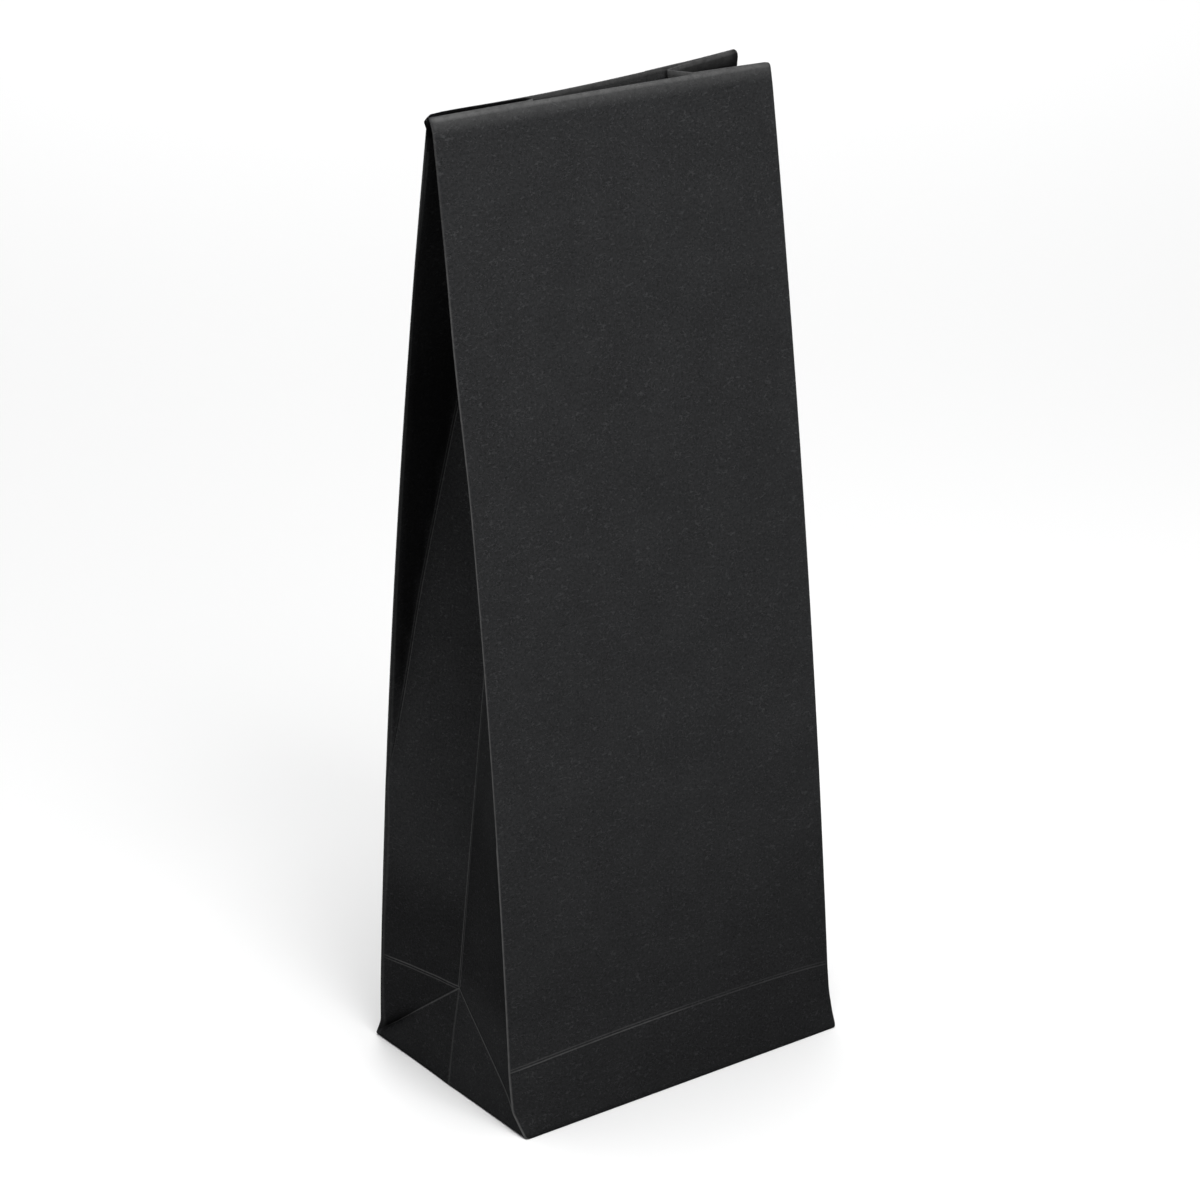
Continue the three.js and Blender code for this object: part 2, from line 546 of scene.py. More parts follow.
    def panel(self, face: Face, x: float, z: float) -> Vector:
        """Finds a point of a panel.

        Args:
            face: the panel.
            x: the distance from the panel's middle.
            z: the height up the paper.

        Returns:
            The point.
        """
        half = self.half_width(z)
        across = (x / half + 1) / 2
        depth = mix(self.depth(face, Side.LEFT, z), self.depth(face, Side.RIGHT, z), across)
        if 0 < z < self.flat_panel.top:
            width = mix(*self.flat_panel.fold_widths, self.flat_panel.widening.at(z))
            for side, share in ((Side.LEFT, 1 - across), (Side.RIGHT, across)):
                near = math.exp(-(half - side.value * x) / width)
                depth += self.pull(face, side, z) * (share - near)
        depth -= self.skin
        beside, under = x + half, self.height - z
        if face is Face.BACK:
            depth -= self.bow(z) * 4 * across * (1 - across)
            return Vector((x, depth + self.back_spring.at(beside, z, z - self.tuck), z))
        return Vector((x - self.edge_overhang.at(beside, under),
                       self.rim_curl.at(beside, across, under) - depth,
                       z - self.rim_drop.at(across, under)))

    def edge(self, face: Face, side: Side, z: float) -> Vector:
        """A point of an upright fold at height z."""
        reach = self.half_width(z) - self.corner_inset(face, side, z)
        return self.panel(face, side.value * reach, z)

    def crease(self, side: Side, z: float) -> Vector:
        """Finds a point of a side fold's centre crease.

        Args:
            side: the side fold.
            z: the height up the paper.

        Returns:
            The point.
        """
        middle = (self.edge(Face.FRONT, side, z) + self.edge(Face.BACK, side, z)) / 2
        at_apex = self.half_panel - self.apex_tuck
        if z < self.apex:
            middle.x = side.value * mix(self.base_width / 2, at_apex, z / self.apex)
        else:
            rise = (z - self.apex) / (self.height - self.apex)
            at_mouth = self.half_panel - self.sides[side].tuck
            middle.x = side.value * mix(at_apex, at_mouth, rise)
        return middle

    def climb(self, face: Face, z: float) -> float:
        """How far up its corner crease height z is, from 0 at the corner to 1 at the apex."""
        foot = self.corner_feet[face]
        return (z - foot) / (self.apex - foot)

    def above_corner(self, face: Face, run: float, z: float) -> float:
        """How far a point of a side fold is above its corner crease, across the crease."""
        slope = self.half_side / (self.apex - self.corner_feet[face])
        return (z - self.corner_feet[face] - run / slope) * slope / math.hypot(1, slope)

    def laid_run(self, side: Side, z: float) -> float:
        """How much paper lies against the panel, which is below 0 under the tuck."""
        rise = (z - self.tuck) / (self.height - self.tuck)
        return self.sides[side].flap * rise + self.flap_swell * rise * (1 - rise)

    def flap_run(self, face: Face, side: Side, z: float) -> float:
        """How much paper lies between the upright fold and the slanted one.

        Args:
            face: the panel that the half of the side fold joins.
            side: the side fold.
            z: the height up the paper.

        Returns:
            The length of paper, which is below 0 under the corner crease's foot.
        """
        if z <= self.apex:
            return self.half_side * self.climb(face, z)
        if z <= self.tuck:
            return self.half_side * (self.tuck - z) / (self.tuck - self.apex)
        return self.laid_run(side, z)

    def layers(self, z: float) -> float:
        """How far a flap keeps off its panel at height z."""
        loose = self.flap_gap.loose * self.flap_gap.loosening.at(z - self.tuck)
        return mix(loose, self.flap_gap.hemmed, self.flap_gap.hem.at(self.height - z - self.hem))

    def flap(self, face: Face, side: Side, z: float) -> Vector:
        """Finds a point of the slanted fold of a side fold.

        Args:
            face: the panel that the half of the side fold joins.
            side: the side fold.
            z: the height up the paper.

        Returns:
            The point.
        """
        foot = self.corner_feet[face]
        if z <= foot:
            return self.edge(face, side, z)
        if z <= self.apex:
            corner = self.edge(face, side, foot)
            return corner.lerp(self.crease(side, self.apex), self.climb(face, z))
        if z <= self.tuck:
            climb = (z - self.apex) / (self.tuck - self.apex)
            return self.crease(side, z).lerp(self.edge(face, side, z), climb)
        return self.laid(face, side, self.laid_run(side, z), z)

    def laid(self, face: Face, side: Side, run: float, z: float) -> Vector:
        """Finds a point of a side fold where it lies against its panel.

        Args:
            face: the panel.
            side: the side fold.
            run: the paper from the upright fold.
            z: the height up the paper, above the tuck.

        Returns:
            The point.
        """
        tucked = self.sides[side]
        rise = (z - self.tuck) / (self.height - self.tuck)
        inset = self.corner_inset(face, side, z) * math.exp(-run / self.corner_fade)
        point = self.panel(face, side.value * (self.half_panel - inset - run), z)
        gap = tucked.mouth_clearance * rise + tucked.clearance * math.sin(math.pi * rise)
        point.y -= face.value * gap * run / max(self.laid_run(side, z), TINY)
        return point

    def side_fold(self, face: Face, side: Side, run: float, z: float) -> Vector:
        """Finds a point of a side fold.

        Args:
            face: the panel that the half of the side fold joins.
            side: the side fold.
            run: the paper from the upright fold.
            z: the height up the paper.

        Returns:
            The point.
        """
        turn = max(0.0, self.flap_run(face, side, z))
        flap = self.flap(face, side, z)
        lift = Vector((0.0, -face.value * self.layers(z), 0.0))
        if run < turn:
            if z > self.tuck:
                point = self.laid(face, side, run, z)
            else:
                point = self.edge(face, side, z).lerp(flap, run / turn)
            point += lift * min(1.0, run / self.flap_gap.rounding)
        else:
            flap += lift * min(1.0, turn / self.flap_gap.rounding)
            rest = max(self.half_side - turn, TINY)
            point = flap.lerp(self.crease(side, z), clamp((run - turn) / rest))
        point.x -= side.value * self.hollow(face, run, z)
        return self.roll(point) if face is Face.BACK else point

    def hollow(self, face: Face, run: float, z: float) -> float:
        """How far the paper of a side fold sinks in where its folds pull on it.

        Args:
            face: the panel that the half of the side fold joins.
            run: the paper from the upright fold.
            z: the height up the paper.

        Returns:
            The depth of the hollow.
        """
        sizes = self.side_hollow
        if z >= self.tuck + sizes.top:
            return 0.0
        above = self.above_corner(face, run, z)
        fade = math.exp(-abs(above) / (sizes.fade_above if above > 0 else sizes.fade_below))
        deep = sizes.pocket * clamp(z / sizes.foot) * swell(run / sizes.pocket_reach) * fade
        if face is Face.BACK:
            dent = sizes.back_dent
            deep += (sizes.brow * sizes.brow_width.at(run)
                     * math.exp(-abs(z - self.apex) / sizes.brow_fade))
        else:
            dent = sizes.front_dent
            deep *= sizes.front_share
        level = dent.over_knee.at(z - self.knee) * dent.over_tuck.at(z - self.tuck)
        deep += sizes.dent * level * swell(run / dent.width)
        return sizes.inner.at(self.half_side - run) * deep

    def sharp(self, along: float, z: float) -> Vector:
        """Finds where a point of the sheet lies, with every fold still sharp.

        Args:
            along: the distance along the sheet from the glued seam.
            z: the height up the paper.

        Returns:
            The point.
        """
        spot = self.spot(along)
        if spot.part is Part.SIDE_FOLD:
            return self.side_fold(spot.face, spot.side, spot.run, z)
        side = Side.RIGHT if spot.run > 0 else Side.LEFT
        reach = self.half_width(z) - self.corner_inset(spot.face, side, z)
        point = self.panel(spot.face, spot.run * reach / self.half_panel, z)
        return self.roll(point) if spot.face is Face.BACK else point

    def soft(self, along: float, z: float) -> Vector:
        """Finds where a point of the sheet lies, with every fold softened.

        Args:
            along: the distance along the sheet from the glued seam.
            z: the height up the paper.

        Returns:
            The point.
        """
        reach = self.softness
        total = self.sharp(along, z) * 2
        for across, up in ((reach, 0), (-reach, 0), (0, reach), (0, -reach)):
            total += self.sharp(along + across, z + up)
        return total / 6

    def outward(self, along: float, z: float) -> Vector:
        """Finds the direction that the paper's outer side faces.

        Args:
            along: the distance along the sheet from the glued seam.
            z: the height up the paper.

        Returns:
            The direction, one long.
        """
        step = 0.2
        run = self.soft(along + step, z) - self.soft(along - step, z)
        rise = self.soft(along, z + step) - self.soft(along, z - step)
        return run.cross(rise).normalized()

    def place(self, along: float, up: float) -> Vector:
        """Folds one point of the flat sheet.

        Args:
            along: the distance along the sheet from the glued seam.
            up: the distance up the sheet from the base. What is above the bag's height
                is the hem, turned in.

        Returns:
            The point on the folded bag.
        """
        past = up - self.height
        bend = self.rim_radius * math.pi / 2
        angle = clamp(past / bend, -1.0, 1.0) * math.pi / 2
        drop = self.rim_radius * (1 - math.cos(angle)) + max(0.0, abs(past) - bend)
        z = self.height - self.lap.thickness / 2 - drop
        point = self.soft(along, z)
        lift = self.lap.lift(self.length - along) - self.rim_radius * (1 + math.sin(angle))
        if abs(lift) > TINY:
            point += self.outward(along, z) * lift
        return point


@dataclass(frozen=True)
class WearAndHighlight:
    """Wear on the folds and painted highlight on their rounded edges and rims: 1 palest, 0 new."""

    form: FoldedForm
    rim: Ramp = Ramp(10.0, 6.0)
    rim_end: float = 52.6
    inner_rim: float = 0.95
    outer_rim: float = 0.6
    slit: Ramp = Ramp(-42.0, -16.0)
    beside_fold: float = 4.0
    front_left: Ramp = Ramp(215.0, 245.0)
    front_left_top: float = 0.4
    front_right: float = 0.45
    back: float = 0.35

    def at(self, spot: Spot, z: float, inner: bool) -> float:
        """How pale worn paper and painted highlight make the folds near a place on the sheet.

        Args:
            spot: the place.
            z: its height.
            inner: whether it is on the hem, which is turned in.

        Returns:
            The wear.
        """
        rim = self.rim.at(self.form.height - z)
        back_left = spot.face is Face.BACK and spot.side is Side.LEFT
        if spot.part is Part.SIDE_FOLD and spot.run > self.beside_fold:
            return 1.0 - rim if back_left else 1.0
        if rim > 0 and back_left:
            worn = self.inner_rim if inner else self.outer_rim
            # no painted rim highlight at the back panel's left, where the slit of the mouth lies in
            # shade
            open_up = self.slit.at(spot.run) if spot.part is Part.PANEL else 0.0
            return mix(self.back, worn * open_up, rim)
        if rim > 0 and spot.part is Part.PANEL and abs(spot.run) < self.rim_end:
            worn = self.inner_rim if inner or spot.face is Face.FRONT else self.outer_rim
            return mix(self.back, worn, rim)
        left = spot.run < 0 if spot.part is Part.PANEL else spot.side is Side.LEFT
        if spot.face is Face.FRONT and left:
            return mix(1.0, self.front_left_top, self.front_left.at(z))
        return self.front_right if spot.face is Face.FRONT else self.back


@dataclass(frozen=True)
class PocketShade:
    """Painted shade in the pocket above a corner crease, where the folds shade the paper."""

    front_share: float = 0.2
    edge: float = 0.3
    reaches: Pair = (4.0, 6.0)
    widening: Ramp = Ramp(0.0, 14.0)
    inner_share: float = 0.3
    fading: Ramp = Ramp(0.0, 24.0)
    at_crease: Ramp = Ramp(0.0, 10.0)

    def at(self, face: Face, run: float, above: float, to_crease: float) -> float:
        """How dark the painted shade is.

        Args:
            face: the panel that the half of the side fold joins.
            run: the paper from the upright fold.
            above: the distance above the corner crease.
            to_crease: the paper to the centre crease.

        Returns:
            The share of full shade.
        """
        share = (1.0 if face is Face.BACK else self.front_share) * clamp(above / self.edge + 1)
        share *= math.exp(-max(0.0, above) / mix(*self.reaches, self.widening.at(run)))
        share *= mix(1.0, self.inner_share, self.fading.at(run))
        return share * self.at_crease.at(to_crease)


@dataclass(frozen=True)
class LowShade:
    """Painted shade low on a side fold, below the tuck, where shade falls."""

    back: Pair = (0.26, 0.40)
    over_crease: Ramp = Ramp(0.0, 2.0)
    back_top: Ramp = Ramp(64.0, 42.0)
    front: float = 0.34
    front_top: Ramp = Ramp(92.0, 72.0)
    by_fold: float = 0.2
    by_fold_width: float = 4.0
    foot_share: float = 0.3
    over_foot: Ramp = Ramp(25.0, 37.0)

    def at(self, face: Face, run: float, above: float, z: float) -> float:
        """How dark the painted shade is.

        Args:
            face: the panel that the half of the side fold joins.
            run: the paper from the upright fold.
            above: the distance above the corner crease.
            z: the height.

        Returns:
            The share of full shade.
        """
        if face is Face.BACK:
            return mix(*self.back, self.over_crease.at(above)) * self.back_top.at(z)
        beside = self.by_fold * math.exp(-run / self.by_fold_width)
        foot = mix(self.foot_share, 1.0, self.over_foot.at(z))
        return (self.front * self.front_top.at(z) + beside) * foot


@dataclass(frozen=True)
class FlapShade:
    """Painted shade on a flap, which lies against its panel deep within the fold."""

    level: float = 0.82
    over_tuck: Ramp = Ramp(0.0, 40.0)
    rim_share: float = 0.5
    below_rim: Ramp = Ramp(35.0, 75.0)
    from_fold: Ramp = Ramp(0.4, 2.2)
    to_turn: Ramp = Ramp(-1.0, 1.5)

    def at(self, run: float, turn: float, over_tuck: float, under: float) -> float:
        """How dark the painted shade is.

        Args:
            run: the paper from the upright fold.
            turn: the paper from there to the slanted fold.
            over_tuck: the height above the tuck.
            under: the depth below the rim.

        Returns:
            The share of full shade.
        """
        level = self.level * mix(self.rim_share, 1.0, self.below_rim.at(under))
        edges = self.from_fold.at(run) * self.to_turn.at(turn - run)
        return level * self.over_tuck.at(over_tuck) * edges


@dataclass(frozen=True)
class PaintedFoldShade:
    """Painted shade where paper lies deep in a fold, in the slit of the mouth or near the foot: 1
    full, 0 open.
    """

    form: FoldedForm
    pocket: PocketShade = PocketShade()
    low: LowShade = LowShade()
    low_top: float = 12.0
    flap: FlapShade = FlapShade()
    # painted shade under the back panel's rolled corner, in the slit of the mouth, and towards the
    # front panel's foot
    rolled: float = 0.9
    roll: Ramp = Ramp(8.0, 5.0)
    slit: float = 0.9
    slit_rim: Ramp = Ramp(9.0, 4.0)
    slit_end: Ramp = Ramp(-36.0, -16.0)
    foot: float = 0.30
    foot_top: Ramp = Ramp(100.0, 0.0)
    foot_sides: Pair = (0.7, 1.3)

    def on_panel(self, spot: Spot, z: float) -> float:
        """How much painted shade a panel gets: the front towards its foot, the back at the slit of
        the mouth.

        Args:
            spot: the place on the panel.
            z: its height.

        Returns:
            The share of full shade.
        """
        if spot.face is Face.FRONT:
            across = spot.run / self.form.panel_width + 0.5
            return self.foot * self.foot_top.at(z) * mix(*self.foot_sides, across)
        near = self.slit_rim.at(self.form.height - z)
        return near * mix(self.slit, 0.0, self.slit_end.at(spot.run))

    def at(self, spot: Spot, z: float) -> float:
        """How much painted shade the paper gets, before any pale line is laid over it.

        Args:
            spot: the place.
            z: its height.

        Returns:
            The share of full shade.
        """
        if spot.part is Part.PANEL:
            return self.on_panel(spot, z)
        form = self.form
        face, run = spot.face, spot.run
        above = form.above_corner(face, run, z)
        over_tuck, under = z - form.tuck, form.height - z
        turn = form.flap_run(face, spot.side, z)
        return max(
            self.pocket.at(face, run, above, form.half_side - run),
            self.low.at(face, run, above, z) if over_tuck < self.low_top else 0.0,
            self.flap.at(run, turn, over_tuck, under),
            self.rolled * self.roll.at(under) if face is Face.BACK else 0.0,
        )


@dataclass(frozen=True)
class FoldMarks:
    """Distances from a point of the sheet to its fold lines, for the worn paper, painted highlight
    and painted shade there.
    """

    form: FoldedForm
    wear_and_highlight: WearAndHighlight
    shade: PaintedFoldShade
    arch_foot: float = 0.8
    arch_side: float = 2.25
    arch_side_width: float = 8.0
    arch_middle: float = 1.05
    sag_side: float = 0.55
    sag_middle: float = 0.6
    apex_margin: float = 0.4
    flap_margin: float = 12.0
    back_edge_top: float = 9.0

    def arch(self, run: float) -> float:
        """How far the base crease of a panel arches up above the low fold.

        Args:
            run: the distance from the panel's middle.

        Returns:
            The height of the arch.
        """
        half = self.form.half_panel
        side = self.arch_side * (1 - math.exp(-(half - abs(run)) / self.arch_side_width))
        return self.arch_foot + side + self.arch_middle * (1 - (run / half) ** 2)

    def sag(self, run: float) -> float:
        """How far the apex crease sags, that much paper in from the upright fold."""
        climb = run / self.form.half_side
        return self.sag_side * (1 - climb) + self.sag_middle * math.sin(math.pi * clamp(climb))

    def on_side_fold(self, spot: Spot, z: float, beside: float) -> dict[str, float]:
        """Measures how far the fold lines of a side fold are from a place on it.

        Args:
            spot: the place.
            z: its height.
            beside: the distance from its upright fold.

        Returns:
            The signed distance to each kind of fold line that a side fold has.
        """
        form = self.form
        crease = "centre_crease" if z >= form.apex else "low_crease"
        marks = {
            "upright_fold": -beside,
            crease: form.half_side - spot.run,
            "base_crease": FAR if z >= form.low + self.arch_foot else -FAR,
            "corner_crease": form.above_corner(spot.face, spot.run, z),
            "foot": FAR,
        }
        if spot.face is Face.BACK:
            marks["apex_crease"] = z - form.apex + self.sag(spot.run)
            if z < form.height - self.back_edge_top:
                marks["back_edge"] = spot.run
        if z > form.tuck - self.flap_margin:
            marks["flap_fold"] = spot.run - form.laid_run(spot.side, z)
        return marks

    def measure(self, along: float, up: float) -> dict[str, float]:
        """Measures how far each fold line is from a point of the sheet.

        Args:
            along: the distance along the sheet from the glued seam.
            up: the distance up the sheet from the base.

        Returns:
            The signed distance to each kind of fold line, then the paleness of worn paper and
            painted highlight, then the painted shade.
        """
        form = self.form
        z = min(up, 2 * form.height - up)
        spot = form.spot(along)
        beside = min(abs(along - fold) for fold in form.uprights)
        marks = {
            "upright_fold": beside,
            "centre_crease": FAR,
            "low_crease": FAR,
            "base_crease": z - form.low - self.arch(spot.run),
            "apex_crease": FAR if z >= form.apex - self.apex_margin else -FAR,
            "corner_crease": FAR if z >= form.corner_feet[spot.face] else -FAR,
            "flap_fold": -FAR if z >= form.tuck else FAR,
            "foot": z,
            "rim": form.height - z,
            "back_edge": FAR,
            # paleness for worn paper and painted highlight, then painted shade
            "wear_and_highlight": self.wear_and_highlight.at(spot, z, up > form.height),
            "shade": self.shade.at(spot, z),
        }
        if spot.part is Part.SIDE_FOLD:
            marks |= self.on_side_fold(spot, z, beside)
        return {name: clamp(value, -FAR, FAR) for name, value in marks.items()}


@dataclass(frozen=True)
class Ruling:
    """Where the flat sheet is ruled: close beside each fold, and evenly between folds."""

    cell: float = 2.7
    close: Triple = (0.3, 0.8, 1.6)
    seam_edge: float = 0.08
    foot_rows: tuple[float, ...] = (0.0, 0.35, 1.0, 1.8, 3.0, 4.0)
    below_knee: Pair = (0.8, 0.3)
    below_rim: tuple[float, ...] = (5.2, 4.2, 3.4, 2.7, 2.1, 1.5, 1.0, 0.6, 0.35, 0.157, 0.08)
    past_rim: tuple[float, ...] = (0.0, 0.08, 0.157, 0.45, 1.2)
    hem_rows: int = 10

    def strip(self, start: float, end: float) -> list[float]:
        """Rules one strip, from its first fold up to but not including the next.

        Args:
            start: where the first fold lies.
            end: where the next fold lies.

        Returns:
            The places of the ruled lines.
        """
        near = [start + gap for gap in self.close]
        far = [end - gap for gap in reversed(self.close)]
        room = far[0] - near[-1]
        count = max(1, round(room / self.cell))
        between = [near[-1] + room * i / count for i in range(1, count)]
        return [start, *near, *between, *far]

    def columns(self, form: FoldedForm) -> list[float]:
        """Rules the lines along the sheet.

        Args:
            form: the folded form.

        Returns:
            Every ruled line's distance from the glued seam.
        """
        back_left, front_left, front_right, back_right = form.uprights
        half = form.half_side
        folds = [0.0, back_left, back_left + half, front_left, front_right,
                 front_right + half, back_right, form.length]
        lines: list[float] = []
        for start, end in zip(folds, folds[1:]):
            lines += self.strip(start, end)
        return [*lines[:-1], form.length - self.seam_edge, form.length]

    def rows(self, form: FoldedForm) -> list[float]:
        """Rules the lines up the sheet.

        Args:
            form: the folded form.

        Returns:
            Every ruled line's distance from the base, the hem's included.
        """
        lines = [*self.foot_rows, *(form.knee - gap for gap in self.below_knee)]
        folds = [form.knee, form.low, form.apex, form.tuck, form.height - self.below_rim[0]]
        for start, end in zip(folds, folds[1:]):
            lines += self.strip(start, end)
        lines += [form.height - gap for gap in self.below_rim]
        lines += [form.height + gap for gap in self.past_rim]
        start, end = form.height + self.past_rim[-1], form.height + form.hem
        lines += [mix(start, end, i / self.hem_rows) for i in range(1, self.hem_rows + 1)]
        return lines


@dataclass(frozen=True)
class Base:
    """How the paper is turned in under the foot, and the two flaps that are glued there."""

    foot: float = 0.26
    foot_band: float = 0.5
    turn: float = 0.15
    sole: float = 0.5
    sole_rise: float = 0.04
    floor_step: float = 0.8
    floor_rise: float = 0.46
    flap_levels: Pair = (0.28, 0.10)
    flap_margin: float = 2.4
    flap_slant: float = 25.0
    flap_overlap: float = 9.0
    flap_cut: Pair = (700.0, 90.0)


@dataclass
class KraftBag:
    """The whole bag: one sheet of black kraft paper, scored, folded, glued and hemmed."""

    form: FoldedForm = field(default_factory=FoldedForm)
    ruling: Ruling = field(default_factory=Ruling)
    base: Base = field(default_factory=Base)
    paper: float = 0.16
    score_gap: float = 0.35
    score_margin: float = 4.0
    score_snap: float = 0.02
    score_slack: float = 0.001
    score_steps: int = 8
    weld: float = 0.004

    def flat_sheet(self) -> bmesh.types.BMesh:
        """Rules the flat sheet.

        Returns:
            A grid whose lines are drawn to their places.
        """
        columns = self.ruling.columns(self.form)
        rows = self.ruling.rows(self.form)
        sheet = bmesh.new()
        across, up = len(columns) - 1, len(rows) - 1
        bmesh.ops.create_grid(sheet, x_segments=across, y_segments=up, size=0.5)
        for vert in sheet.verts:
            column = round((vert.co.x + 0.5) * across)
            row = round((vert.co.y + 0.5) * up)
            vert.co = (columns[column], rows[row], 0.0)
        return sheet

    def score(self, sheet: bmesh.types.BMesh, start: Pair, end: Pair) -> None:
        """Presses one straight score line and its two shoulders into the flat sheet.

        Args:
            sheet: the flat sheet, along it in x and up it in y.
            start: the lower end of the line.
            end: the upper end of the line.
        """
        a, b = Vector((*start, 0.0)), Vector((*end, 0.0))
        normal = (b - a).cross(Vector((0, 0, 1))).normalized()
        margin = self.score_margin + 2 * self.score_gap
        first, last = min(a.x, b.x) - margin, max(a.x, b.x) + margin
        half = self.form.half_side
        back_left, _, front_right, _ = self.form.uprights
        starts = (back_left, back_left + half, front_right, front_right + half)
        middle, slack = (a.x + b.x) / 2, self.score_slack
        zone = next(x for x in starts if x - slack <= middle <= x + half + slack)
        for gap in (-self.score_gap, 0.0, self.score_gap):
            faces = []
            for face in sheet.faces:
                centre = face.calc_center_median()
                if (a.y < centre.y < b.y and zone < centre.x < zone + half
                        and first < centre.x < last):
                    faces.append(face)
            edges = {edge for face in faces for edge in face.edges}
            verts = {vert for face in faces for vert in face.verts}
            bmesh.ops.bisect_plane(sheet, geom=[*faces, *edges, *verts], dist=self.score_snap,
                                   plane_co=a + normal * gap, plane_no=normal)

    def score_side_folds(self, sheet: bmesh.types.BMesh) -> None:
        """Scores the slanted lines of both side folds.

        Args:
            sheet: the flat sheet.
        """
        form = self.form
        back_left, front_left, front_right, back_right = form.uprights
        rows = sorted({round(vert.co.y, 4) for vert in sheet.verts})
        levels = [mix(form.tuck, form.height, i / self.score_steps)
                  for i in range(self.score_steps + 1)]
        levels = [min(rows, key=lambda row: abs(row - level)) for level in levels]
        halves = ((Face.BACK, Side.LEFT, back_left, 1), (Face.FRONT, Side.LEFT, front_left, -1),
                  (Face.FRONT, Side.RIGHT, front_right, 1), (Face.BACK, Side.RIGHT, back_right, -1))
        for face, side, fold, way in halves:
            self.score(sheet, (fold, form.corner_feet[face]),
                       (fold + way * form.half_side, form.apex))
            for low, high in zip(levels, levels[1:]):
                ends = [fold + way * form.flap_run(face, side, z) for z in (low, high)]
                self.score(sheet, (ends[0], low), (ends[1], high))
                if high > form.height - form.hem:
                    mirror = [2 * form.height - z for z in (high, low)]
                    self.score(sheet, (ends[1], mirror[0]), (ends[0], mirror[1]))

    def mark(self, sheet: bmesh.types.BMesh) -> None:
        """Writes the sheet's own coordinates and the distances to its folds on the mesh.

        Args:
            sheet: the flat sheet, scored.
        """
        uv = sheet.loops.layers.uv.new("paper")
        for face in sheet.faces:
            for loop in face.loops:
                loop[uv].uv = loop.vert.co.xy / SHEET_SPAN
        marks = FoldMarks(self.form, WearAndHighlight(self.form), PaintedFoldShade(self.form))
        names = marks.measure(0, 0).keys()
        layers = {name: sheet.verts.layers.float.new(name) for name in names}
        for vert in sheet.verts:
            for name, value in marks.measure(vert.co.x, vert.co.y).items():
                vert[layers[name]] = value

    def fold(self, sheet: bmesh.types.BMesh) -> None:
        """Folds the sheet into the bag's form and glues its seam.

        Args:
            sheet: the flat sheet, scored and marked.
        """
        for vert in sheet.verts:
            vert.co = self.form.place(vert.co.x, vert.co.y)
        bmesh.ops.remove_doubles(sheet, verts=sheet.verts, dist=self.weld)

    def close_base(self, sheet: bmesh.types.BMesh) -> None:
        """Turns the paper in under the foot and fills the floor of the bag.

        Args:
            sheet: the folded sheet, open at its foot.
        """
        base, half_paper = self.base, self.paper / 2
        rim = [edge for edge in sheet.edges if edge.is_boundary
               and max(vert.co.z for vert in edge.verts) < base.foot_band]
        for vert in {vert for edge in rim for vert in edge.verts}:
            vert.co.z = base.foot
        for inset, height in ((base.turn, half_paper), (base.sole, half_paper + base.sole_rise),
                              (base.floor_step, base.floor_rise)):
            made = bmesh.ops.extrude_edge_only(sheet, edges=rim)["geom"]
            rim = [item for item in made
                   if isinstance(item, bmesh.types.BMEdge) and item.is_boundary]
            for vert in {vert for edge in rim for vert in edge.verts}:
                x, y = vert.co.xy
                vert.co.x -= math.copysign(min(inset, abs(x) / 2), x)
                vert.co.y -= math.copysign(min(inset, abs(y) / 2), y)
                vert.co.z = height
        bmesh.ops.contextual_create(sheet, geom=rim)

    def base_flap(self, sheet: bmesh.types.BMesh, face: Face, level: float) -> None:
        """Lays one of the two flaps that are folded in under the base and glued.

        Args:
            sheet: the folded bag.
            face: the panel that the flap belongs to.
            level: the height of the flap's paper.
        """
        base = self.base
        half = self.form.base_width / 2 - base.flap_margin
        deep = self.form.half_side - base.flap_margin
        end, tip = -base.flap_overlap, half - base.flap_slant
        corners = ((-half, deep), (half, deep), (tip, end), (-tip, end))
        verts = [sheet.verts.new((x, y * face.value, level)) for x, y in corners]
        flap = bmesh.ops.contextual_create(sheet, geom=verts)["faces"][0]
        uv = sheet.loops.layers.uv["paper"]
        cut = Vector((base.flap_cut[0], base.flap_cut[1] * face.value))
        for loop in flap.loops:
            loop[uv].uv = (loop.vert.co.xy + cut) / SHEET_SPAN
        for name, layer in sheet.verts.layers.float.items():
            for vert in verts:
                vert[layer] = 0.0 if name in ("wear_and_highlight", "shade") else FAR

    def build(self) -> bpy.types.Object:
        """Makes the bag from its flat sheet.

        Returns:
            The bag, in metres, with its paper's thickness still to be put on by a modifier.
        """
        sheet = self.flat_sheet()
        self.score_side_folds(sheet)
        self.mark(sheet)
        self.fold(sheet)
        self.close_base(sheet)
        for face in sheet.faces:
            face.smooth = True
        for face, level in zip((Face.FRONT, Face.BACK), self.base.flap_levels):
            self.base_flap(sheet, face, level)
        bmesh.ops.scale(sheet, vec=(MM, MM, MM), verts=sheet.verts)
        mesh = bpy.data.meshes.new("kraft_bag")
        sheet.to_mesh(mesh)
        sheet.free()
        bag = bpy.data.objects.new("kraft_bag", mesh)
        bpy.context.collection.objects.link(bag)
        wall = bag.modifiers.new("paper thickness", "SOLIDIFY")
        wall.thickness = self.paper * MM
        wall.offset = 0.0
        wall.use_quality_normals = True
        return bag

    def dress(self, bag: bpy.types.Object, finish: "BlackKraft") -> None:
        """Gives the bag its finish and its place in the frame.

        Args:
            bag: the bag.
            finish: the paper's finish.
        """
        bag.data.materials.append(finish.material())
        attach(bag, "root")
        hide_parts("bag")


@dataclass(frozen=True)
class Clouds:
    """Soft clouds in a finish: how fine they are, and what their darkest and palest give."""

    fineness: float
    detail: float
    between: Pair
    gives: Pair


